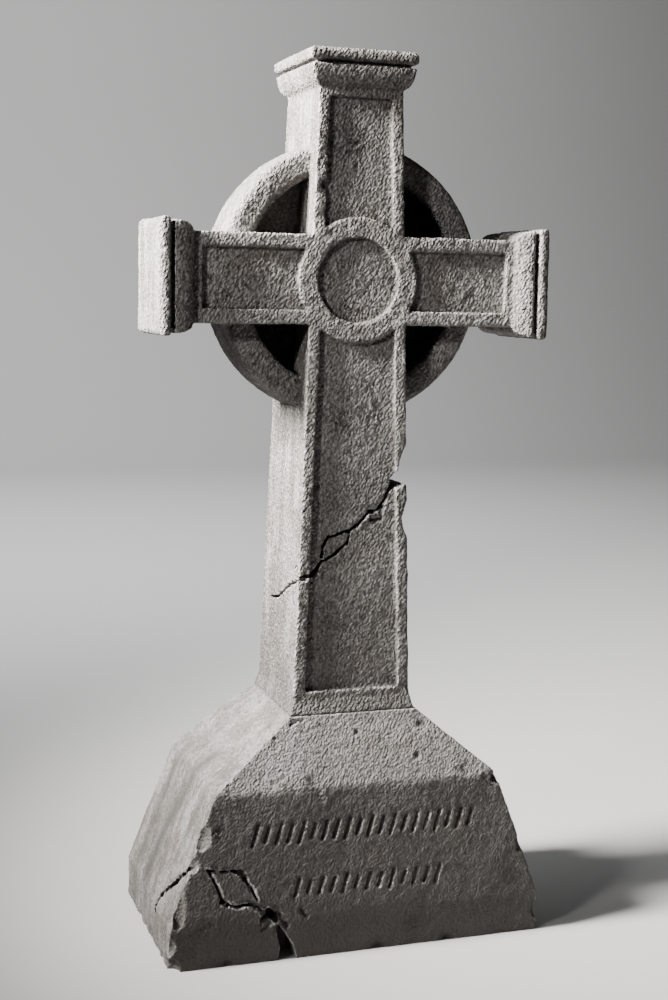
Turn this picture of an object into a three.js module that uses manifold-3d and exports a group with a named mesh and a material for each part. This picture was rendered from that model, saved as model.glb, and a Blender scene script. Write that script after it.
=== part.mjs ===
// Celtic cross gravestone: a panelled cross with a ringed head on a battered plinth.
// Millimetres, +Z up, the front face looks towards -Y, the origin is the middle of the underside.
import * as THREE from 'three';
import { mergeVertices } from 'three/addons/utils/BufferGeometryUtils.js';
import Module from 'manifold-3d';

const wasm = await Module();
wasm.setup();

// Heights above the ground
const totalHeight = 900;
const plinthHeight = 240;
const shoulderHeight = 172.5;
const skirtHeight = 42;
const armCentreHeight = 677.5;

// Plinth: plan sizes at the ground, at the shoulder and at the top
const plinthWidth = 396;
const plinthDepth = 213;
const shoulderWidth = 302.5;
const shoulderDepth = 190;
const footLedge = 1;

// Shaft: widths and depths at its foot and at its neck, under the top capital
const footWidth = 126;
const footDepth = 130;
const neckWidth = 87;
const neckDepth = 108;
const flareHeight = 16;
const flareProjection = 4;
const flareSteps = 3;
const bedGap = 0.3;

// Arms, whose back is nearer to the front than the shaft's back
const armSpan = 407;
const armHeight = 88;
const armBack = 30;

// Capitals on the top and on both arm ends: slab, groove and quarter round
const slabThickness = 12;
const slabProjection = 12;
const slabBackProjection = 4;
const slabInnerEdge = 2;
const slabOuterEdge = 3.5;
const grooveHeight = 3.6;
const grooveProjection = 5.5;
const ovoloLength = 20;
const ovoloProjection = 10;
const ovoloSteps = 5;

// Ring and the web that closes its quadrants
const ringOuterRadius = 138;
const ringInnerRadius = 110;
const ringFront = 38;
const ringBack = 32;
const ringEdgeRadius = 6;
const ringEdgeSteps = 2;
const ringSegments = 72;
const webFront = 8;
const webThickness = 22;

// Sunk panels, and the raised collar with its sunk middle
const panelDepth = 4.2;
const shaftBorder = 12;
const armBorder = 14;
const panelEndBorder = 9;
const panelFootBorder = 23;
const collarOuterRadius = 62;
const collarInnerRadius = 42;
const collarSegments = 64;

// Crack across the shaft, as places across and above the ground on the front face
const crackWidth = 3.2;
const crackDepth = 9;
const crackPath = [
  [41, 475], [33, 457], [26, 447], [17, 446], [9, 436], [-4, 426], [-26, 420.5],
  [-32, 411], [-33.5, 395], [-42, 382.5], [-62, 380],
];
const crackBranch = [[-4, 424], [-6, 415], [-20, 402], [-33, 395]];
// The same crack round the left side, as places behind the front face and above the ground
const crackSidePath = [[0, 379], [10, 375], [25, 369], [38, 363], [48, 357], [68, 347], [88, 343]];
// Two bites out of the right-hand edge where the crack comes out
const upperBite = [
  [70, 520], [56, 517], [52, 509], [48.5, 500], [46, 487], [38, 478], [38.5, 466], [45, 470], [70, 478],
];
const lowerBite = [[70, 467], [59, 466.5], [54, 448], [51, 438], [52.5, 430], [58, 416], [70, 410]];
const biteDepth = 75;

// Chips on the shaft's left border, as places across and above the ground with their sizes
const borderChips = [
  { x: -29, z: 811, width: 7, height: 19, turn: 0.25 },
  { x: -36, z: 769, width: 8, height: 11, turn: 0.9 },
];
const chipDepth = 3.6;
const chipTaper = 0.67;
const chipSides = 5;

// Plinth damage: cracks on the front, a wedge lost at the ground, chips off the left-hand edge
const plinthCrackWidth = 3;
const plinthCrackDepth = 6;
const plinthCracks = [
  [[-163, 99], [-140, 96.5], [-126, 94.5]],
  [[-158, 99], [-153, 90], [-148, 78], [-144, 66]],
  [[-122, 88], [-116, 79], [-108, 64], [-97, 53], [-90, 42]],
  [[-141, 64], [-129, 60], [-117, 61]],
];
const wedgeOutline = [[-87, -2], [-67, -2], [-71, 14], [-79, 27], [-90, 42], [-88, 26], [-84, 12]];
const wedgeDepth = 24;
const leftEdgeChips = [
  { z: 133, size: 11, stretch: 1.6 },
  { z: 106, size: 9, stretch: 1 },
  { z: 68, size: 8, stretch: 3.6 },
  { z: 26, size: 7, stretch: 1.5 },
  { z: 4, size: 13, stretch: 1 },
];
const rightEdgeChips = [
  { z: 168, size: 9, stretch: 1 },
  { z: 96, size: 6, stretch: 2 },
  { z: 22, size: 8, stretch: 1.5 },
];
const plinthSideCrack = [[0, 106], [26, 84], [50, 66], [66, 52], [70, 36]];

// Two rows of shallow parallel tool strokes in the place of an inscription
const strokeWidth = 3.8;
const strokeDepth = 3.6;
const strokeLean = 0.3;
// How much shorter each stroke of a row is, over and over
const strokeShortening = [0, 7, 2, 4];
const strokeRows = [
  { left: -110, right: 121, height: 129, length: 25, count: 20 },
  { left: -67, right: 85, height: 73, length: 22, count: 13 },
];

// Finish
const stoneColour = 0x8d8984;
const plinthColour = 0x85817c;

// How far solids that are joined or cut run into one another
const overlap = 2;

const capitalLength = ovoloLength + grooveHeight + slabThickness;
const neckHeight = totalHeight - capitalLength;
const armEnd = armSpan / 2 - capitalLength;
const shaftBottom = plinthHeight + bedGap;

function between(from, to, share) {
  return from + (to - from) * share;
}

function shaftShare(z) {
  return (z - shaftBottom) / (neckHeight - shaftBottom);
}

function halfShaftWidth(z) {
  return between(footWidth, neckWidth, shaftShare(z)) / 2;
}

function halfShaftDepth(z) {
  return between(footDepth, neckDepth, shaftShare(z)) / 2;
}

// The cross is built with upright faces this far from the middle, and battered at the end
const halfDepth = halfShaftDepth(armCentreHeight);

function solidOf(geometry) {
  geometry.deleteAttribute('normal');
  geometry.deleteAttribute('uv');
  const merged = mergeVertices(geometry, 1e-4);
  const corners = [];
  for (let i = 0; i < merged.index.count; i += 3) {
    const [a, b, c] = [0, 1, 2].map((k) => merged.index.getX(i + k));
    if (a !== b && b !== c && c !== a) corners.push(a, b, c);
  }
  return new wasm.Manifold(new wasm.Mesh({
    numProp: 3,
    vertProperties: Float32Array.from(merged.attributes.position.array),
    triVerts: Uint32Array.from(corners),
  }));
}

function geometryOf(solid) {
  const mesh = solid.getMesh();
  const geometry = new THREE.BufferGeometry();
  geometry.setAttribute('position', new THREE.BufferAttribute(mesh.vertProperties, 3));
  geometry.setIndex(new THREE.BufferAttribute(mesh.triVerts, 1));
  return geometry;
}

// A plate whose outline is drawn across and up, from its front to its back
function plate(outline, front, back) {
  const shape = new THREE.Shape(outline.map(([x, z]) => new THREE.Vector2(x, z)));
  const geometry = new THREE.ExtrudeGeometry(shape, { depth: back - front, bevelEnabled: false });
  geometry.rotateX(Math.PI / 2);
  geometry.translate(0, back, 0);
  return solidOf(geometry);
}

// A round plate standing upright about the arms' centre
function roundPlate(radius, front, back, segments) {
  const geometry = new THREE.CylinderGeometry(radius, radius, back - front, segments);
  geometry.translate(0, (front + back) / 2, armCentreHeight);
  return solidOf(geometry);
}

// A four-sided solid through rectangles stacked along Z
function stackGeometry(levels) {
  const profile = [new THREE.Vector2(0, levels[0].at)];
  for (const level of levels) profile.push(new THREE.Vector2(Math.SQRT2, level.at));
  profile.push(new THREE.Vector2(0, levels[levels.length - 1].at));
  const geometry = new THREE.LatheGeometry(profile, 4, Math.PI / 4);
  geometry.rotateX(Math.PI / 2);
  const position = geometry.attributes.position;
  for (let i = 0; i < position.count; i += 1) {
    const level = levels[i % profile.length - 1];
    if (!level || i % profile.length === profile.length - 1) continue;
    position.setX(i, position.getX(i) > 0 ? level.right : -level.left);
    position.setY(i, position.getY(i) > 0 ? level.back : -level.front);
  }
  return geometry;
}

// Slab, groove and quarter round above a member that ends at the given faces
function capitalLevels(start, left, right, front, back, backShare) {
  const profile = [[-overlap, -overlap], [0, 0]];
  for (let i = 1; i <= ovoloSteps; i += 1) {
    const angle = (i / ovoloSteps) * Math.PI / 2;
    profile.push([ovoloLength * (1 - Math.cos(angle)), ovoloProjection * Math.sin(angle)]);
  }
  profile.push([ovoloLength, grooveProjection]);
  profile.push([ovoloLength + grooveHeight, grooveProjection]);
  profile.push([ovoloLength + grooveHeight, slabProjection - slabInnerEdge]);
  profile.push([ovoloLength + grooveHeight + slabInnerEdge, slabProjection]);
  profile.push([capitalLength - slabOuterEdge, slabProjection]);
  profile.push([capitalLength, slabProjection - slabOuterEdge]);
  return profile.map(([along, out]) => ({
    at: start + along,
    left: left + out,
    right: right + out,
    front: front + out,
    back: back + out * backShare,
  }));
}

function topCapital() {
  const half = halfShaftWidth(neckHeight);
  return solidOf(stackGeometry(capitalLevels(neckHeight, half, half, halfDepth, halfDepth, 1)));
}

function armCapital(side) {
  const backShare = slabBackProjection / slabProjection;
  const levels = capitalLevels(armEnd, armHeight / 2, armHeight / 2, halfDepth, armBack, backShare);
  const geometry = stackGeometry(levels);
  geometry.rotateY(side * Math.PI / 2);
  geometry.translate(0, 0, armCentreHeight);
  return solidOf(geometry);
}

function shaft() {
  const foot = footWidth / 2;
  const neck = neckWidth / 2;
  return plate([
    [-foot, shaftBottom], [foot, shaftBottom], [neck, neckHeight], [-neck, neckHeight],
  ], -halfDepth, halfDepth);
}

// A hollow flare round the shaft's foot, deepest at the ground joint
function footFlare() {
  const levels = [];
  for (let i = 0; i <= flareSteps; i += 1) {
    const angle = (i / flareSteps) * Math.PI / 2;
    const at = shaftBottom + flareHeight * Math.sin(angle);
    const out = flareProjection * (1 - Math.sin(angle));
    const half = halfShaftWidth(at) + out;
    levels.push({ at, left: half, right: half, front: halfDepth + out, back: halfDepth + out });
  }
  return solidOf(stackGeometry(levels));
}

function arms() {
  const low = armCentreHeight - armHeight / 2;
  const high = armCentreHeight + armHeight / 2;
  return plate([[-armEnd, low], [armEnd, low], [armEnd, high], [-armEnd, high]], -halfDepth, armBack);
}

// The ring is turned about the line through its middle from front to back, with rounded edges
function ring() {
  const corners = [
    [ringInnerRadius, -ringFront, 180], [ringOuterRadius, -ringFront, 270],
    [ringOuterRadius, ringBack, 0], [ringInnerRadius, ringBack, 90],
  ];
  const section = [];
  for (const [radius, place, startAngle] of corners) {
    const centreRadius = radius + (radius === ringInnerRadius ? ringEdgeRadius : -ringEdgeRadius);
    const centrePlace = place + (place < 0 ? ringEdgeRadius : -ringEdgeRadius);
    for (let i = 0; i <= ringEdgeSteps; i += 1) {
      const angle = THREE.MathUtils.degToRad(startAngle + 90 * i / ringEdgeSteps);
      section.push(new THREE.Vector2(
        centreRadius + ringEdgeRadius * Math.cos(angle),
        centrePlace + ringEdgeRadius * Math.sin(angle),
      ));
    }
  }
  section.push(section[0].clone());
  const geometry = new THREE.LatheGeometry(section, ringSegments);
  geometry.translate(0, 0, armCentreHeight);
  return solidOf(geometry);
}

function web() {
  const radius = (ringInnerRadius + ringOuterRadius) / 2;
  return roundPlate(radius, -webFront, webThickness - webFront, ringSegments);
}

// Cuts that sink the panels and leave the collar standing
function panelCuts() {
  const floor = -halfDepth + panelDepth;
  const front = -halfDepth - overlap;
  const low = shaftBottom + panelFootBorder;
  const high = neckHeight - panelEndBorder;
  const upright = plate([
    [-halfShaftWidth(low) + shaftBorder, low], [halfShaftWidth(low) - shaftBorder, low],
    [halfShaftWidth(high) - shaftBorder, high], [-halfShaftWidth(high) + shaftBorder, high],
  ], front, floor);
  const reach = armEnd - panelEndBorder;
  const bottom = armCentreHeight - armHeight / 2 + armBorder;
  const top = armCentreHeight + armHeight / 2 - armBorder;
  const level = plate([[-reach, bottom], [reach, bottom], [reach, top], [-reach, top]], front, floor);
  const collar = roundPlate(collarOuterRadius, front - overlap, floor + overlap, collarSegments);
  const middle = roundPlate(collarInnerRadius, front, floor, collarSegments);
  return upright.add(level).subtract(collar).add(middle);
}

// A groove that follows a path of places across and up, a short straight cut for each stretch
function grooveAlong(path, width, front, back) {
  let groove = null;
  for (let i = 0; i + 1 < path.length; i += 1) {
    const [x0, z0] = path[i];
    const [x1, z1] = path[i + 1];
    const length = Math.hypot(x1 - x0, z1 - z0);
    const cut = new THREE.BoxGeometry(length + width / 2, back - front, width);
    cut.rotateY(-Math.atan2(z1 - z0, x1 - x0));
    cut.translate((x0 + x1) / 2, (front + back) / 2, (z0 + z1) / 2);
    const solid = solidOf(cut);
    groove = groove ? groove.add(solid) : solid;
  }
  return groove;
}

// A groove on a left-hand side face, along places behind the front face and up
function sideGroove(path, width, depth, frontAt, sideAt) {
  let groove = null;
  for (let i = 0; i + 1 < path.length; i += 1) {
    const [back0, z0] = path[i];
    const [back1, z1] = path[i + 1];
    const middleHeight = (z0 + z1) / 2;
    const cut = new THREE.BoxGeometry(depth * 2, Math.hypot(back1 - back0, z1 - z0) + width, width);
    cut.rotateX(Math.atan2(z1 - z0, back1 - back0));
    cut.translate(-sideAt(middleHeight), (back0 + back1) / 2 - frontAt(middleHeight), middleHeight);
    const solid = solidOf(cut);
    groove = groove ? groove.add(solid) : solid;
  }
  return groove;
}

function shaftDamage() {
  const front = -halfDepth - overlap;
  const back = -halfDepth + panelDepth + crackDepth;
  let damage = grooveAlong(crackPath, crackWidth, front, back);
  damage = damage.add(grooveAlong(crackBranch, crackWidth, front, back));
  damage = damage.add(sideGroove(crackSidePath, crackWidth, crackDepth, () => halfDepth, halfShaftWidth));
  damage = damage.add(plate(upperBite, front, front + biteDepth));
  damage = damage.add(plate(lowerBite, front, front + biteDepth));
  for (const chip of borderChips) {
    const radius = chip.width / 2;
    const cut = new THREE.CylinderGeometry(radius, radius * chipTaper, chipDepth * 2, chipSides);
    cut.rotateX(Math.PI);
    cut.scale(1, 1, chip.height / chip.width);
    cut.rotateY(chip.turn);
    cut.translate(chip.x, -halfDepth, chip.z);
    damage = damage.add(solidOf(cut));
  }
  return damage;
}

// Leans the front and back faces in, so that the depth follows the shaft's
function batter(geometry) {
  const position = geometry.attributes.position;
  for (let i = 0; i < position.count; i += 1) {
    position.setY(i, position.getY(i) * halfShaftDepth(position.getZ(i)) / halfDepth);
  }
  return geometry;
}

function crossGeometry() {
  let solid = shaft().add(footFlare()).add(arms());
  solid = solid.add(topCapital()).add(armCapital(1)).add(armCapital(-1));
  solid = solid.add(ring()).add(web());
  solid = solid.subtract(panelCuts()).subtract(shaftDamage());
  return batter(geometryOf(solid));
}

function plinthLevel(at, width, depth) {
  return { at, left: width / 2, right: width / 2, front: depth / 2, back: depth / 2 };
}

function batterShare(z) {
  return THREE.MathUtils.clamp((shoulderHeight - z) / (shoulderHeight - skirtHeight), 0, 1);
}

// Half depth and half width of the plinth's battered faces at a height
function plinthFront(z) {
  return between(shoulderDepth, plinthDepth, batterShare(z)) / 2;
}

function plinthSide(z) {
  return between(shoulderWidth, plinthWidth, batterShare(z)) / 2;
}

const faceTilt = Math.atan2((plinthDepth - shoulderDepth) / 2, shoulderHeight - skirtHeight);

// A short cut in the battered front face, turned in the plane of the face
function faceCut(x, z, length, width, depth, turn) {
  const cut = new THREE.BoxGeometry(width, depth * 2, length);
  cut.rotateY(turn);
  cut.rotateX(-faceTilt);
  cut.translate(x, -plinthFront(z), z);
  return solidOf(cut);
}

function inscriptionStrokes() {
  let strokes = null;
  for (const row of strokeRows) {
    for (let i = 0; i < row.count; i += 1) {
      const x = between(row.left, row.right, i / (row.count - 1));
      const length = row.length - strokeShortening[i % strokeShortening.length];
      const stroke = faceCut(x, row.height, length, strokeWidth, strokeDepth, strokeLean);
      strokes = strokes ? strokes.add(stroke) : stroke;
    }
  }
  return strokes;
}

function plinthDamage() {
  const front = -plinthDepth / 2;
  let damage = plate(wedgeOutline, front - overlap, front + wedgeDepth);
  for (const path of plinthCracks) {
    for (let i = 0; i + 1 < path.length; i += 1) {
      const [x0, z0] = path[i];
      const [x1, z1] = path[i + 1];
      const length = Math.hypot(x1 - x0, z1 - z0) + plinthCrackWidth;
      const turn = Math.atan2(x1 - x0, z1 - z0);
      damage = damage.add(
        faceCut((x0 + x1) / 2, (z0 + z1) / 2, length, plinthCrackWidth, plinthCrackDepth, turn),
      );
    }
  }
  for (const [side, chips] of [[-1, leftEdgeChips], [1, rightEdgeChips]]) {
    chips.forEach((chip, index) => {
      const cut = new THREE.IcosahedronGeometry(chip.size, 0);
      cut.scale(1, 1, chip.stretch);
      cut.rotateZ(index);
      cut.translate(side * plinthSide(chip.z), -plinthFront(chip.z), chip.z);
      damage = damage.add(solidOf(cut));
    });
  }
  return damage.add(
    sideGroove(plinthSideCrack, plinthCrackWidth, plinthCrackDepth, plinthFront, plinthSide),
  );
}

function plinthGeometry() {
  const ledge = 2 * (flareProjection + footLedge);
  const levels = [
    plinthLevel(0, plinthWidth, plinthDepth),
    plinthLevel(skirtHeight, plinthWidth, plinthDepth),
    plinthLevel(shoulderHeight, shoulderWidth, shoulderDepth),
    plinthLevel(plinthHeight, footWidth + ledge, footDepth + ledge),
  ];
  const solid = solidOf(stackGeometry(levels));
  return geometryOf(solid.subtract(inscriptionStrokes()).subtract(plinthDamage()));
}

function piece(name, geometry, colour, roughness) {
  const material = new THREE.MeshStandardMaterial({ color: colour, roughness, metalness: 0 });
  const mesh = new THREE.Mesh(geometry, material);
  mesh.name = name;
  return mesh;
}

const gravestone = new THREE.Group();
gravestone.add(piece('cross', crossGeometry(), stoneColour, 0.9));
gravestone.add(piece('plinth', plinthGeometry(), plinthColour, 0.92));

export default gravestone;
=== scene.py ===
import math
import bmesh
import bpy
import numpy as np
from mathutils import Matrix, Vector


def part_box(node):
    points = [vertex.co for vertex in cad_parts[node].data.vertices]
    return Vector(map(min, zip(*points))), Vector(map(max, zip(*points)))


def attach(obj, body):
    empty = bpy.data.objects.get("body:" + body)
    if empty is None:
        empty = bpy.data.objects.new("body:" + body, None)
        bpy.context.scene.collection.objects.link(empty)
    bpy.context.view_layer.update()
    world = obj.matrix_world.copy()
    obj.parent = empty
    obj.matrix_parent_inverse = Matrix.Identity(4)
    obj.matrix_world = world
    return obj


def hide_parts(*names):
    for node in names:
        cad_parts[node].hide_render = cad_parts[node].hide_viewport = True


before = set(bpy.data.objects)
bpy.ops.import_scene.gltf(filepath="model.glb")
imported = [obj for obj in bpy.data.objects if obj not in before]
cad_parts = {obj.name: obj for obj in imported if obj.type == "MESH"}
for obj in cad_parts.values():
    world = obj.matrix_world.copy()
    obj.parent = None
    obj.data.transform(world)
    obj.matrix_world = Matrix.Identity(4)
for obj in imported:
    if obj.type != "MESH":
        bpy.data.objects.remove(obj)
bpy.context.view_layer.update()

# Camera: where the photograph was taken from, as worked out from the object's own edges
photoView = {
    "aim": (-0.0019, 0.0, 0.45),
    "turn": 18.58,            # degrees the camera stands to the left of straight in front
    "tilt": 7.81,             # degrees it looks down
    "roll": 1.21,             # degrees it leans
    "distance": 1.6109,
    "focalPixels": 1539.4,
    "pixelsHigh": 1000,
    "sensorHeight": 24.0,
}


def placeCamera(view):
    turn, tilt, roll = (math.radians(view[k]) for k in ("turn", "tilt", "roll"))
    backward = Vector((-math.sin(turn) * math.cos(tilt), -math.cos(turn) * math.cos(tilt), math.sin(tilt)))
    right = (-backward).cross(Vector((0, 0, 1))).normalized()
    up = right.cross(-backward)
    leanedRight = right * math.cos(roll) + up * math.sin(roll)
    leanedUp = up * math.cos(roll) - right * math.sin(roll)
    data = bpy.data.cameras.new("photoCamera")
    data.sensor_fit = "VERTICAL"
    data.sensor_height = view["sensorHeight"]
    data.lens = view["focalPixels"] / view["pixelsHigh"] * view["sensorHeight"]
    data.clip_end = 50
    camera = bpy.data.objects.new("photoCamera", data)
    axes = Matrix((leanedRight, leanedUp, backward)).transposed().to_4x4()
    camera.matrix_world = Matrix.Translation(Vector(view["aim"]) + backward * view["distance"]) @ axes
    bpy.context.scene.collection.objects.link(camera)
    bpy.context.scene.camera = camera


placeCamera(photoView)
print("camera placed")

# Studio: pale floor and backdrop, a strong side light that grazes the front, a weak key
studio = {
    "floorColour": (0.36, 0.355, 0.35, 1),
    "floorRoughness": 0.95,
    "floorSize": 14.0,
    "backdropAt": 4.0,        # metres behind the object where the floor starts to rise
    "backdropBend": 1.5,
    "backdropSteps": 16,
    "worldColour": (0.75, 0.76, 0.78, 1),
    "worldStrength": 0.035,
    "side": {"place": (-1.40, -0.07, 1.42), "aim": (0.0, 0.0, 0.82), "size": 0.42, "spread": 66,
             "power": 78, "colour": (1.0, 0.98, 0.95)},
    "key": {"place": (-1.62, -0.92, 1.45), "aim": (0.0, 0.0, 0.70), "size": 0.24, "spread": 50,
            "power": 2.6, "colour": (1.0, 0.99, 0.97)},
    "wall": {"place": (0.0, 1.3, 2.8), "aim": (0.0, 4.6, 0.0), "size": 2.5, "spread": 150,
             "power": 240, "colour": (0.98, 0.99, 1.0)},
}


def addAreaLight(name, settings):
    data = bpy.data.lights.new(name, "AREA")
    data.shape = "DISK"
    data.size = settings["size"]
    data.energy = settings["power"]
    data.color = settings["colour"]
    data.spread = math.radians(settings["spread"])
    light = bpy.data.objects.new(name, data)
    light.location = settings["place"]
    towards = Vector(settings["aim"]) - Vector(settings["place"])
    light.rotation_euler = towards.to_track_quat("-Z", "Y").to_euler()
    bpy.context.scene.collection.objects.link(light)


def buildStudio():
    material = bpy.data.materials.new("paleFloor")
    material.use_nodes = True
    shader = material.node_tree.nodes["Principled BSDF"]
    shader.inputs["Base Color"].default_value = studio["floorColour"]
    shader.inputs["Roughness"].default_value = studio["floorRoughness"]
    half = studio["floorSize"] / 2
    bend = studio["backdropBend"]
    profile = [(-half, 0.0)]
    for step in range(studio["backdropSteps"] + 1):
        angle = math.radians(90 * step / studio["backdropSteps"])
        profile.append((studio["backdropAt"] + bend * math.sin(angle), bend * (1 - math.cos(angle))))
    profile.append((studio["backdropAt"] + bend, half))
    points = [(side * half, y, z) for y, z in profile for side in (-1, 1)]
    faces = [(2 * i, 2 * i + 1, 2 * i + 3, 2 * i + 2) for i in range(len(profile) - 1)]
    mesh = bpy.data.meshes.new("floor")
    mesh.from_pydata(points, [], faces)
    mesh.materials.append(material)
    for polygon in mesh.polygons:
        polygon.use_smooth = True
    floor = bpy.data.objects.new("floor", mesh)
    bpy.context.scene.collection.objects.link(floor)
    world = bpy.data.worlds.new("studioWorld")
    world.use_nodes = True
    background = world.node_tree.nodes["Background"]
    background.inputs["Color"].default_value = studio["worldColour"]
    background.inputs["Strength"].default_value = studio["worldStrength"]
    bpy.context.scene.world = world
    for name in ("side", "key", "wall"):
        addAreaLight(name, studio[name])


buildStudio()
print("studio built")


# An input is either a link from another node's output or a plain value
def addNode(tree, kind, inputs=None, **settings):
    node = tree.nodes.new(kind)
    for name, value in settings.items():
        setattr(node, name, value)
    for key, value in (inputs or {}).items():
        if hasattr(value, "is_output"):
            tree.links.new(value, node.inputs[key])
        else:
            node.inputs[key].default_value = value
    return node


def mathNode(tree, operation, first, second):
    return addNode(tree, "ShaderNodeMath", {0: first, 1: second}, operation=operation).outputs[0]


def vectorNode(tree, operation, first, second):
    node = addNode(tree, "ShaderNodeVectorMath", {0: first, 1: second}, operation=operation)
    return node.outputs["Value" if operation == "DOT_PRODUCT" else "Vector"]


def scaledNode(tree, vector, scale):
    inputs = {"Vector": vector, "Scale": scale}
    return addNode(tree, "ShaderNodeVectorMath", inputs, operation="SCALE").outputs["Vector"]


def rangeNode(tree, value, low, high, toLow=0.0, toHigh=1.0):
    inputs = {"Value": value, "From Min": low, "From Max": high, "To Min": toLow, "To Max": toHigh}
    return addNode(tree, "ShaderNodeMapRange", inputs, interpolation_type="SMOOTHSTEP").outputs["Result"]


# Surface: wear on the edges, ragged lines, lumps, and damage where the marks say
weatherRules = {
    "edgeRounds": 2,               # rounds of blur that find an edge
    "hollowRounds": 16,            # rounds of blur that find a hollow
    "wearFrom": (0.35, 0.65),      # noise values between which the wear sets in
    "wearShare": (0.1, 1.0),
    "pitFrom": (0.5, 0.62),        # noise values between which a pit sets in
    "throughTakenOut": 0.7,        # how much of the sway through a face is taken out
    "flatMargin": (0.001, 0.005),  # metres above the flat part where the upright shift sets in
    "seedSpacing": 3.7,            # metres from the noise of one seed to the next
    "storedScale": 1000.0,         # the stored hollows and ridges are in millimetres
}


def buildWeatherTree(rules):
    tree = bpy.data.node_groups.new("weatheredStone", "GeometryNodeTree")
    face = tree.interface
    face.new_socket("Geometry", in_out="INPUT", socket_type="NodeSocketGeometry")
    named = (
        "Edge Wear", "Wear Patch", "Swell Height", "Swell Size", "Lump Height", "Lump Size",
        "Jitter", "Jitter Size", "Crack Jitter", "Pit Depth", "Pit Size", "Flat Below",
    )
    for name in named:
        face.new_socket(name, in_out="INPUT", socket_type="NodeSocketFloat")
    face.new_socket("Seed", in_out="INPUT", socket_type="NodeSocketInt")
    face.new_socket("Material", in_out="INPUT", socket_type="NodeSocketMaterial")
    face.new_socket("Geometry", in_out="OUTPUT", socket_type="NodeSocketGeometry")
    given = tree.nodes.new("NodeGroupInput").outputs
    result = tree.nodes.new("NodeGroupOutput")

    place = tree.nodes.new("GeometryNodeInputPosition").outputs[0]
    normal = tree.nodes.new("GeometryNodeInputNormal").outputs[0]
    seedStep = mathNode(tree, "MULTIPLY", given["Seed"], rules["seedSpacing"])
    seedShift = addNode(tree, "ShaderNodeCombineXYZ", {"X": seedStep, "Y": seedStep}).outputs[0]
    seeded = vectorNode(tree, "ADD", place, seedShift)

    def noise(size, detail, roughness):
        return addNode(tree, "ShaderNodeTexNoise", {
            "Vector": seeded, "Scale": mathNode(tree, "DIVIDE", 1.0, size),
            "Detail": detail, "Roughness": roughness,
        }, noise_dimensions="3D").outputs

    def marked(name):
        return addNode(tree, "GeometryNodeInputNamedAttribute", {"Name": name},
                       data_type="FLOAT").outputs["Attribute"]

    def blurred(rounds):
        node = addNode(tree, "GeometryNodeBlurAttribute", {"Iterations": rounds}, data_type="FLOAT_VECTOR")
        tree.links.new(place, [s for s in node.inputs if s.enabled and s.type == "VECTOR"][0])
        return [s for s in node.outputs if s.enabled][0]

    inward = vectorNode(tree, "SUBTRACT", blurred(rules["edgeRounds"]), place)
    patchy = noise(given["Wear Patch"], detail=3.0, roughness=0.6)[0]
    wearNoise = rangeNode(tree, patchy, *rules["wearFrom"], *rules["wearShare"])
    worn = scaledNode(tree, inward, mathNode(tree, "MULTIPLY", wearNoise, given["Edge Wear"]))

    def swing(size, detail, roughness, height):
        offCentre = mathNode(tree, "SUBTRACT", noise(size, detail, roughness)[0], 0.5)
        return mathNode(tree, "MULTIPLY", offCentre, height)

    swell = swing(given["Swell Size"], detail=2.0, roughness=0.5, height=given["Swell Height"])
    lump = swing(given["Lump Size"], detail=2.0, roughness=0.55, height=given["Lump Height"])
    pitted = rangeNode(tree, noise(given["Pit Size"], detail=1.0, roughness=0.5)[0], *rules["pitFrom"])
    pit = mathNode(tree, "MULTIPLY", marked("rough"), pitted)
    drop = mathNode(tree, "ADD", mathNode(tree, "MULTIPLY", pit, given["Pit Depth"]), marked("dent"))
    height = mathNode(tree, "SUBTRACT", mathNode(tree, "ADD", swell, lump), drop)

    swayNoise = noise(given["Jitter Size"], detail=2.0, roughness=0.6)[1]
    swayed = vectorNode(tree, "SUBTRACT", swayNoise, (0.5, 0.5, 0.5))
    throughFace = scaledNode(tree, normal, vectorNode(tree, "DOT_PRODUCT", swayed, normal))
    takenOut = scaledNode(tree, throughFace, rules["throughTakenOut"])
    alongFace = vectorNode(tree, "SUBTRACT", swayed, takenOut)
    crackSway = mathNode(tree, "MULTIPLY", marked("crack"), given["Crack Jitter"])
    sway = scaledNode(tree, alongFace, mathNode(tree, "ADD", given["Jitter"], crackSway))

    raised = vectorNode(tree, "ADD", worn, scaledNode(tree, normal, height))
    shift = vectorNode(tree, "ADD", raised, sway)
    level = addNode(tree, "ShaderNodeSeparateXYZ", {"Vector": place}).outputs["Z"]
    flatEnds = [mathNode(tree, "ADD", given["Flat Below"], margin) for margin in rules["flatMargin"]]
    aboveFlat = rangeNode(tree, level, *flatEnds)
    parts = addNode(tree, "ShaderNodeSeparateXYZ", {"Vector": shift}).outputs
    upShift = mathNode(tree, "MULTIPLY", parts["Z"], aboveFlat)     # so the underside stays level
    shift = addNode(tree, "ShaderNodeCombineXYZ", {"X": parts["X"], "Y": parts["Y"], "Z": upShift}).outputs[0]
    moved = addNode(tree, "GeometryNodeSetPosition", {"Geometry": given["Geometry"], "Offset": shift})

    sharp = vectorNode(tree, "DOT_PRODUCT", inward, normal)
    ridge = mathNode(tree, "MULTIPLY", sharp, -rules["storedScale"])
    inwardFar = vectorNode(tree, "SUBTRACT", blurred(rules["hollowRounds"]), place)
    hollow = vectorNode(tree, "DOT_PRODUCT", inwardFar, normal)
    recess = mathNode(tree, "MULTIPLY", hollow, rules["storedScale"])
    kept = moved.outputs[0]
    for name, value in (("ridge", ridge), ("recess", recess)):
        store = addNode(tree, "GeometryNodeStoreNamedAttribute", {"Geometry": kept, "Name": name},
                        data_type="FLOAT", domain="POINT")
        tree.links.new(value, [s for s in store.inputs if s.enabled and s.name == "Value"][0])
        kept = store.outputs[0]
    whole = addNode(tree, "GeometryNodeRealizeInstances", {"Geometry": kept}).outputs[0]
    finish = addNode(tree, "GeometryNodeSetMaterial", {"Geometry": whole, "Material": given["Material"]})
    tree.links.new(finish.outputs[0], result.inputs["Geometry"])
    return tree


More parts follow.
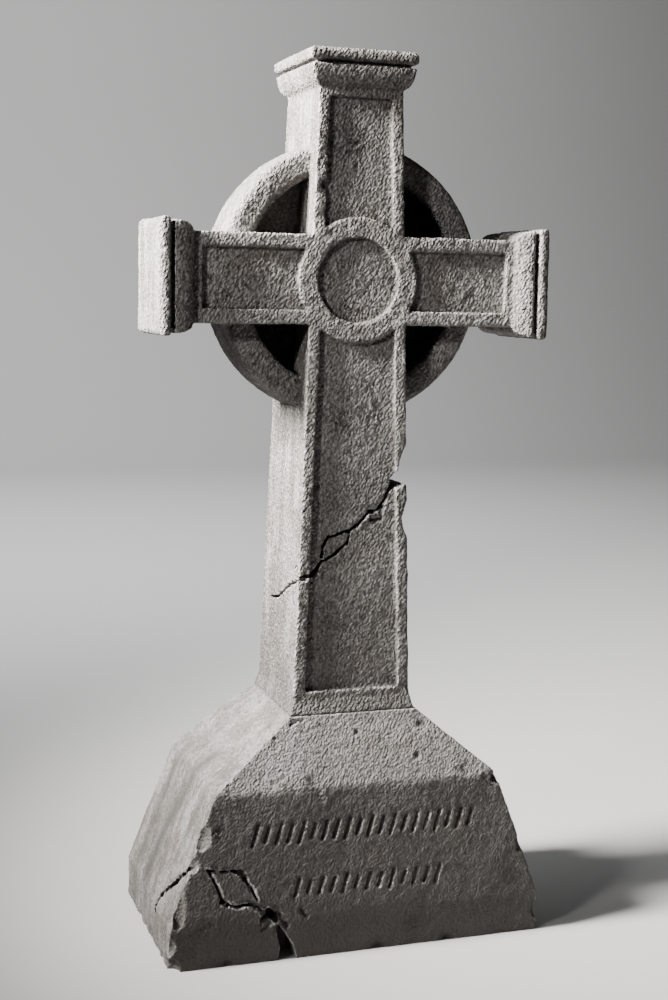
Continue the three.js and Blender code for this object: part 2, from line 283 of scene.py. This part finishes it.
def copyNodeMesh(nodeName, meshName):
    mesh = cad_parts[nodeName].data.copy()
    mesh.name = meshName
    mesh.materials.clear()
    work = bmesh.new()
    work.from_mesh(mesh)
    bmesh.ops.remove_doubles(work, verts=work.verts, dist=1e-5)
    work.to_mesh(mesh)
    work.free()
    return mesh


def bakeModifiers(piece):
    bpy.context.view_layer.update()
    evaluated = piece.evaluated_get(bpy.context.evaluated_depsgraph_get())
    mesh = bpy.data.meshes.new_from_object(evaluated)
    piece.modifiers.clear()
    piece.data = mesh
    return mesh


def readVectors(items, label):
    values = np.empty(len(items) * 3)
    items.foreach_get(label, values)
    return values.reshape(-1, 3)


def keepInside(mesh, corners):
    points = np.clip(readVectors(mesh.vertices, "co"), corners[0], corners[1])
    mesh.vertices.foreach_set("co", points.ravel())
    mesh.update()


def setInputs(modifier, values):
    sockets = {s.name: s.identifier for s in modifier.node_group.interface.items_tree if s.in_out == "INPUT"}
    for name, value in values.items():
        modifier[sockets[name]] = value


millimetre = 0.001


def nearLine(flat, line, halfWidth):
    nearest = np.full(len(flat), 1.0)
    for first, second in zip(line, line[1:]):
        start = np.array(first) * millimetre
        reach = np.array(second) * millimetre - start
        share = np.clip((flat - start) @ reach / (reach @ reach), 0, 1)
        nearest = np.minimum(nearest, np.linalg.norm(flat - start - share[:, None] * reach, axis=1))
    return np.clip(1 - nearest / (halfWidth * millimetre), 0, 1)


def smoothed(share):
    return share * share * (3 - 2 * share)


# Cracks and marks are in millimetres on a region: front as across and up, left as back and up.
# A crack is a line, its half width and its depth; a mark is a place, its radius, depth and roughness.
# A region is in metres: the two axes it is drawn on, the axis that is tested, and what it stays below.
def markSurface(mesh, settings, dirtAndShadeAt):
    points = readVectors(mesh.vertices, "co")
    normals = readVectors(mesh.vertices, "normal")
    values = {name: np.zeros(len(points)) for name in ("crack", "dent", "rough")}
    for region, line, halfWidth, depth in settings["cracks"]:
        axes, tested, limit = settings["regions"][region]
        near = (points[:, tested] < limit) * nearLine(points[:, axes], line, halfWidth)
        values["crack"] = np.maximum(values["crack"], near)
        values["dent"] += near * depth * millimetre
    for region, across, up, radius, depth, rough in settings["marks"]:
        axes, tested, limit = settings["regions"][region]
        away = np.linalg.norm(points[:, axes] - np.array((across, up)) * millimetre, axis=1)
        near = smoothed((points[:, tested] < limit) * np.clip(1 - away / (radius * millimetre), 0, 1))
        values["dent"] += near * depth * millimetre
        values["rough"] = np.maximum(values["rough"], near * rough)
    # painted shade in recesses, at joints, on some front faces and towards the ground, with some dirt
    values["dirtAndShade"] = dirtAndShadeAt(points, normals)
    values["sideways"] = np.abs(normals[:, 0])
    for name, numbers in values.items():
        layer = mesh.attributes.new(name, "FLOAT", "POINT")
        layer.data.foreach_set("value", numbers.astype(np.float32))


def weatheredPiece(pieceName, nodeName, settings, dirtAndShadeAt, tree, material):
    piece = bpy.data.objects.new(pieceName, copyNodeMesh(nodeName, pieceName))
    bpy.context.scene.collection.objects.link(piece)
    remesh = piece.modifiers.new("evenFaces", "REMESH")
    remesh.mode = "VOXEL"
    remesh.voxel_size = settings["cell"]
    markSurface(bakeModifiers(piece), settings, dirtAndShadeAt)
    weather = piece.modifiers.new("weather", "NODES")
    weather.node_group = tree
    setInputs(weather, settings["weather"])
    setInputs(weather, {"Material": material})
    bakeModifiers(piece)
    thin = piece.modifiers.new("fewerFaces", "DECIMATE")
    triangles = 2 * len(piece.data.polygons)     # all its faces are four-sided here
    thin.ratio = settings["mostTriangles"] / triangles
    mesh = bakeModifiers(piece)
    mesh.name = pieceName
    keepInside(mesh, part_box(nodeName))
    mesh.polygons.foreach_set("use_smooth", [True] * len(mesh.polygons))
    print(pieceName, "has", sum(len(p.vertices) - 2 for p in mesh.polygons), "triangles")
    return piece


def buildStoneMaterial(name, look):
    material = bpy.data.materials.new(name)
    material.use_nodes = True
    tree = material.node_tree
    shader = tree.nodes["Principled BSDF"]
    shader.inputs["Roughness"].default_value = look["roughness"]
    shader.inputs["Specular IOR Level"].default_value = look["sheen"]
    place = tree.nodes.new("ShaderNodeTexCoord").outputs["Object"]
    along = vectorNode(tree, "DOT_PRODUCT", place, look["strokeWay"])
    squeeze = scaledNode(tree, look["strokeWay"], mathNode(tree, "MULTIPLY", along, look["strokeStretch"]))
    brushed = vectorNode(tree, "SUBTRACT", place, squeeze)
    upright = addNode(tree, "ShaderNodeMapping", {"Vector": place, "Scale": look["runScale"]}).outputs[0]

    def noise(vector, size, detail, roughness):
        return addNode(tree, "ShaderNodeTexNoise", {
            "Vector": vector, "Scale": 1 / size, "Detail": detail, "Roughness": roughness}).outputs[0]

    def attribute(label):
        return addNode(tree, "ShaderNodeAttribute", attribute_name=label).outputs["Fac"]

    def mixColour(amount, first, second):
        inputs = {0: amount, 6: first, 7: second}     # 6 and 7 are the node's two colours
        return addNode(tree, "ShaderNodeMix", inputs, data_type="RGBA").outputs[2]

    def share(value, name):
        start, full, most = look[name]
        return rangeNode(tree, value, start, full, 0.0, most)

    def patch(vector, name):
        size, detail, roughness, start, full, most = look[name]
        return rangeNode(tree, noise(vector, size, detail, roughness), start, full, 0.0, most)

    def both(first, second):
        return mathNode(tree, "MULTIPLY", first, second)

    grain = noise(brushed, *look["grain"])
    grit = noise(brushed, *look["grit"])
    scab = noise(brushed, *look["scab"])
    sandScale = 1 / look["sandSize"]
    warp = addNode(tree, "ShaderNodeTexNoise", {"Vector": place, "Scale": sandScale}).outputs["Color"]
    warpBy = scaledNode(tree, warp, look["sandWarp"] * look["sandSize"])
    sandPlace = vectorNode(tree, "ADD", brushed, warpBy)
    sand = addNode(tree, "ShaderNodeTexVoronoi", {"Vector": sandPlace, "Scale": sandScale}).outputs[0]
    rough = attribute("rough")
    recess = attribute("recess")
    sideways = attribute("sideways")
    edge = both(share(attribute("ridge"), "ridgeShare"), patch(place, "edgePatch"))
    crack = both(share(attribute("crack"), "crackShare"), share(recess, "crackHollow"))
    layers = (
        (patch(place, "tintPatch"), "tint"),
        (both(sideways, patch(upright, "runPatch")), "streak"),
        (both(sideways, patch(place, "smudgePatch")), "streak"),
        (patch(place, "speckPatch"), "dark"),
        (share(grain, "grainDark"), "dark"),
        (share(grain, "grainPale"), "drybrushAndHighlight"),
        (share(sand, "sandDark"), "dark"),
        # darker where the stored attribute says: painted shade in recesses, joints and low down, with some
        # dirt
        (attribute("dirtAndShade"), "dark"),
        # painted shade in hollows
        (share(recess, "hollowShade"), "dark"),
        (both(rough, share(scab, "scabDark")), "dark"),
        # paler edges: worn dry-brushed paint, partly a painted highlight
        (edge, "drybrushAndHighlight"),
        # painted shade inside the cracks
        (crack, "crackShade"),
    )
    colour = mixColour(patch(place, "palePatch"), look["mid"], look["pale"])
    for amount, shade in layers:
        colour = mixColour(amount, colour, look[shade])
    tree.links.new(colour, shader.inputs["Base Color"])
    heights = (
        both(grain, look["grainHeight"]),
        both(grit, look["gritHeight"]),
        both(sand, -look["sandHeight"]),
        both(both(rough, scab), look["scabHeight"]),
    )
    height = heights[0]
    for more in heights[1:]:
        height = mathNode(tree, "ADD", height, more)
    bump = addNode(tree, "ShaderNodeBump", {"Height": height, "Strength": 1.0, "Distance": 1.0})
    tree.links.new(bump.outputs[0], shader.inputs["Normal"])
    return material


weatherTree = buildWeatherTree(weatherRules)

# Cross: the upper stone with its panels, ring and long crack
crossSettings = {
    "look": {
        "pale": (0.235, 0.226, 0.213, 1),
        "mid": (0.14, 0.133, 0.125, 1),
        "tint": (0.175, 0.138, 0.122, 1),
        "streak": (0.070, 0.058, 0.051, 1),
        # pale dry-brushed paint on raised grain and edges; on the edges partly a painted highlight
        "drybrushAndHighlight": (0.46, 0.45, 0.435, 1),
        "dark": (0.040, 0.036, 0.033, 1),
        # painted shade for the inside of the cracks
        "crackShade": (0.012, 0.010, 0.010, 1),
        "roughness": 0.86,
        "sheen": 0.3,
        "strokeWay": (0.55, 0.0, 0.835),     # the grain is drawn out along this slant
        "strokeStretch": 0.30,
        "runScale": (1.0, 1.0, 0.16),        # runs are drawn out upwards
        "grain": (0.0027, 2.0, 0.7),         # size, detail and roughness of a noise
        "grit": (0.0080, 2.0, 0.55),
        "scab": (0.0042, 2.0, 0.6),
        "sandSize": 0.0026,
        "sandWarp": 0.4,
        "grainHeight": 0.0020,
        "gritHeight": 0.0012,
        "sandHeight": 0.0019,
        "scabHeight": 0.0055,
        "palePatch": (0.11, 5.0, 0.62, 0.36, 0.66, 1.0),     # a noise, its start, its full value, its most
        "tintPatch": (0.06, 4.0, 0.6, 0.5, 0.7, 0.6),
        "runPatch": (0.018, 4.0, 0.65, 0.43, 0.60, 0.85),
        "smudgePatch": (0.045, 4.0, 0.6, 0.47, 0.62, 0.65),
        "speckPatch": (0.007, 1.0, 0.5, 0.33, 0.27, 0.8),
        "edgePatch": (0.012, 3.0, 0.6, 0.36, 0.6, 0.5),
        "grainDark": (0.5, 0.38, 0.5),       # start, full value and most
        "grainPale": (0.52, 0.64, 0.3),
        "sandDark": (0.45, 0.75, 0.45),
        # painted shade in hollows
        "hollowShade": (0.25, 1.3, 0.85),
        "scabDark": (0.5, 0.38, 0.9),
        "ridgeShare": (0.10, 0.38, 1.0),
        "crackShare": (0.35, 0.75, 1.0),
        "crackHollow": (0.1, 0.7, 0.95),
    },
    # painted shade on the web behind the ring and on the ring's inner walls; painted shade with some dirt at
    # the foot, the joint and the top slab's front
    "dirtAndShade": {
        "centreHeight": 0.6775,
        "webRadius": 0.112,
        "webDepths": (-0.0125, 0.018),       # from its front to its back
        "webShare": 0.65,
        "rimRadii": (0.105, 0.117),
        "rimFront": -0.036,
        "rimShare": 0.35,
        "footTop": 0.42,
        "footReach": 0.20,
        "footShare": 0.28,
        "jointTop": 0.285,
        "jointReach": 0.045,
        "jointShare": 0.35,
        "slabBottom": 0.884,
        "slabShare": 0.65,
        "most": 0.9,
    },
    "cell": 0.0013,
    "mostTriangles": 195000,
    "weather": {
        "Edge Wear": 0.28, "Wear Patch": 0.02, "Swell Height": 0.0014, "Swell Size": 0.05,
        "Lump Height": 0.0012, "Lump Size": 0.006, "Jitter": 0.0042, "Jitter Size": 0.008,
        "Crack Jitter": 0.010, "Pit Depth": 0.0012, "Pit Size": 0.005, "Flat Below": 0.24, "Seed": 3,
    },
    "regions": {"front": ((0, 2), 1, -0.035), "left": ((1, 2), 0, -0.036)},
    "cracks": [
        ("front", [(52, 480), (41, 475), (33, 457), (26, 447), (17, 446), (9, 436), (-4, 426), (-26, 420.5),
                   (-32, 411), (-33.5, 395), (-42, 382.5), (-62, 380)], 7, 0),
        ("front", [(-4, 424), (-6, 415), (-20, 402), (-33, 395)], 7, 0),
        ("left", [(-62, 379), (-52, 375), (-37, 369), (-24, 363), (-14, 357), (6, 347), (26, 343)], 7, 0),
        ("left", [(-60, 384), (-50, 390), (-44, 386)], 3, 1.6),
        ("left", [(-48, 368), (-42, 358), (-50, 352)], 3, 1.4),
        ("front", [(30, 451), (29.5, 438), (20.5, 436), (20, 446)], 3, 2.0),
    ],
    "marks": [
        ("front", -9.6, 812.6, 22, 0.3, 1.0), ("front", -4, 790, 12, 0.2, 0.8),
        ("front", -17.4, 537.2, 26, 0.4, 1.0), ("front", 15.4, 544.0, 22, 0.4, 1.0),
        ("front", -14, 565, 15, 0.3, 0.8), ("front", 12, 570, 14, 0.3, 0.8),
        ("front", -29, 811, 13, 0.6, 0.5), ("front", -37, 768, 11, 0.9, 0.6),
        ("front", -41, 788, 7, 0.8, 0.4), ("front", -55.6, 650.6, 4, 1.4, 0.2),
        ("front", -37, 742, 8, 0.8, 0.6), ("front", -36, 752, 6, 0.8, 0.5),
        ("front", -139.6, 661.7, 14, 0.4, 1.0), ("front", -112, 700, 5, 0.6, 0.4),
        ("front", 120, 664, 12, 0.3, 0.9), ("front", 10, 672, 14, 0.3, 0.8),
        ("left", -20, 470, 5, 1.6, 0.2), ("left", -26, 330, 8, 0.3, 0.7),
        ("left", -40, 310, 8, 0.3, 0.8), ("left", -44, 250, 9, 0.6, 0.8),
        ("left", -34, 505, 6, 1.2, 0.5), ("left", -36, 492, 5, 1.4, 0.5), ("left", -56, 470, 7, 1.2, 0.5),
        ("left", -42, 402, 8, 1.0, 0.7), ("left", -52, 390, 7, 1.2, 0.6), ("left", -30, 318, 9, 0.5, 1.0),
        ("left", -56, 300, 8, 1.2, 0.6), ("left", -50, 272, 6, 0.9, 0.6), ("left", -60, 250, 9, 1.6, 0.6),
    ],
}


def crossDirtAndShade(points, normals):
    given = crossSettings["dirtAndShade"]
    back, level = points[:, 1], points[:, 2]
    fromMiddle = np.hypot(points[:, 0], level - given["centreHeight"])
    webFront, webBack = given["webDepths"]
    rimInside, rimOutside = given["rimRadii"]
    # the web and the ring's inner walls get painted shade
    web = (fromMiddle < given["webRadius"]) & (back > webFront) & (back < webBack)
    rim = (fromMiddle > rimInside) & (fromMiddle < rimOutside) & (back > given["rimFront"]) & ~web
    amount = given["webShare"] * web + given["rimShare"] * rim
    # the foot darker towards the bottom and the band at the joint darker: painted shade with some dirt
    amount += np.clip((given["footTop"] - level) / given["footReach"], 0, 1) * given["footShare"]
    amount += np.clip((given["jointTop"] - level) / given["jointReach"], 0, 1) * given["jointShare"]
    # the front of the top slab darker: painted shade with some dirt
    amount += (level > given["slabBottom"]) * np.clip(-normals[:, 1], 0, 1) * given["slabShare"]
    return np.clip(amount, 0, given["most"])


crossMaterial = buildStoneMaterial("greyStoneCoat", crossSettings["look"])
cross = weatheredPiece("weatheredCross", "cross", crossSettings, crossDirtAndShade, weatherTree, crossMaterial)

# Plinth: the battered base, painted darker on its front and towards the ground as shade with some dirt, with
# its broken left corner
plinthSettings = {
    "look": {
        **crossSettings["look"],
        "mid": (0.14, 0.136, 0.131, 1),
        "pale": (0.225, 0.22, 0.213, 1),
        "grain": (0.0024, 2.0, 0.7),
        "grainHeight": 0.0012,
        "grainPale": (0.52, 0.64, 0.12),
        "sandSize": 0.0023,
        "sandHeight": 0.0009,
    },
    # painted shade with some dirt: front faces darker, darker towards the ground and at the joint; the stains
    # are real stains
    "dirtAndShade": {
        "shoulderHeight": 0.168,
        "lowDirtAndShadeReach": 0.20,
        "frontShare": 0.58,
        "frontLowDirtAndShade": 0.42,
        "sideLowDirtAndShade": 0.30,
        "jointBottom": 0.226,
        "jointReach": 0.014,
        "jointShare": 0.35,
        "most": 0.94,
        "stains": [
            # places back and up on the left side in millimetres, half width and strength
            ([(-12, 182), (-2, 140), (18, 95), (24, 55)], 20, 0.75),
            ([(-62, 170), (-56, 125), (-46, 92)], 11, 0.5),
            ([(52, 175), (62, 110), (60, 60)], 16, 0.55),
        ],
    },
    "cell": 0.0014,
    "mostTriangles": 190000,
    "weather": {
        "Edge Wear": 0.7, "Wear Patch": 0.03, "Swell Height": 0.0030, "Swell Size": 0.07,
        "Lump Height": 0.0010, "Lump Size": 0.006, "Jitter": 0.0035, "Jitter Size": 0.010,
        "Crack Jitter": 0.009, "Pit Depth": 0.0014, "Pit Size": 0.005, "Flat Below": 0.0, "Seed": 8,
    },
    "regions": {"front": ((0, 2), 1, -0.05), "left": ((1, 2), 0, -0.13)},
    "cracks": [
        ("front", [(-163, 99), (-140, 96.5), (-126, 94.5)], 6, 0),
        ("front", [(-158, 99), (-153, 90), (-148, 78), (-144, 66)], 6, 0),
        ("front", [(-122, 88), (-116, 79), (-108, 64), (-97, 53), (-90, 42)], 6, 0),
        ("front", [(-141, 64), (-129, 60), (-117, 61)], 6, 0),
        ("front", [(-126, 94.5), (-122, 88)], 4, 2.5),
        ("front", [(-144, 66), (-141, 64)], 4, 2.5),
        ("front", [(-117, 61), (-108, 58), (-97, 47)], 5, 3.0),
        ("front", [(-97, 53), (-84, 45), (-78, 33)], 4, 2.5),
        ("front", [(-103, 44), (-94, 48), (-90, 42)], 4, 2.5),
        ("front", [(-104, 33), (-92, 42)], 3, 1.6),
        ("front", [(-64, 50), (-58, 43)], 3, 1.4),
        ("front", [(-54, 237), (-62, 236.5), (-67, 232)], 3, 1.4),
        ("left", [(-94, 99.6), (-77, 84), (-54.5, 66), (-40, 52), (-36, 36)], 6, 1.2),
        ("left", [(-77, 84), (-71, 72), (-63, 68)], 3.5, 1.6),
    ],
    "marks": [
        ("front", -48, 176, 13, 2.2, 0.6), ("front", -43, 166, 9, 1.6, 0.5),
        ("front", -84, 222, 8, 1.5, 0.6), ("front", -112, 202, 8, 1.4, 0.5),
        ("front", -135, 184, 9, 1.6, 0.6), ("front", 3.5, 221.5, 5, 1.8, 0.0),
        ("front", 65, 194.7, 5, 1.8, 0.0),
        ("front", 75.3, 224.6, 6, 1.6, 0.3), ("front", 70, 224, 5, 1.6, 0.3),
        ("front", -95, 216, 9, 1.0, 0.5), ("front", -86, 214, 6, 1.4, 0.3),
        ("front", -93.5, 48, 12, 2.5, 0.6), ("front", -100, 42, 8, 1.5, 0.6),
        ("front", 120, 176, 16, 1.2, 0.6), ("front", 138, 168, 12, 1.0, 0.6),
        ("front", -150, 135, 12, 0.6, 0.9), ("front", -160, 40, 16, 0.6, 0.5),
        ("front", 170, 60, 16, 0.5, 0.5), ("front", 60, 20, 16, 0.5, 0.5),
        ("left", -90, 6, 10, 4.0, 0.6), ("left", -72, 2, 9, 4.5, 0.5), ("left", -52, 4, 12, 3.0, 0.6),
        ("left", -18, 2, 13, 5.0, 0.5), ("left", 12, 3, 9, 3.5, 0.5), ("left", 38, 3, 12, 4.5, 0.5),
        ("left", 76, 4, 13, 5.0, 0.5), ("left", 98, 10, 10, 3.0, 0.5),
        ("front", 20, 2, 12, 3.0, 0.4), ("front", 96, 2, 10, 3.5, 0.4), ("front", -140, 2, 10, 3.0, 0.4),
    ],
}


def plinthDirtAndShade(points, normals):
    given = plinthSettings["dirtAndShade"]
    level = points[:, 2]
    # front faces darker below the shoulder: painted shade
    facing = np.clip(-normals[:, 1], 0, 1) * (level < given["shoulderHeight"])
    # darker towards the ground: painted shade of light falling off, with some dirt
    lowDirtAndShade = np.clip((given["lowDirtAndShadeReach"] - level) / given["lowDirtAndShadeReach"], 0, 1)
    amount = facing * (given["frontShare"] + given["frontLowDirtAndShade"] * lowDirtAndShade)
    amount += given["sideLowDirtAndShade"] * lowDirtAndShade * (1 - facing)
    # darker band at the joint: painted shade with some dirt
    amount += np.clip((level - given["jointBottom"]) / given["jointReach"], 0, 1) * given["jointShare"]
    for line, halfWidth, strength in given["stains"]:
        amount += (1 - facing) * strength * smoothed(nearLine(points[:, (1, 2)], line, halfWidth))
    return np.clip(amount, 0, given["most"])


plinthMaterial = buildStoneMaterial("darkStoneCoat", plinthSettings["look"])
plinth = weatheredPiece("weatheredPlinth", "plinth", plinthSettings, plinthDirtAndShade, weatherTree,
                        plinthMaterial)

for piece, node, slotName in ((cross, "cross", "cross_stone"), (plinth, "plinth", "plinth_stone")):
    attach(piece, "root")
    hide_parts(node)
print("pieces finished")
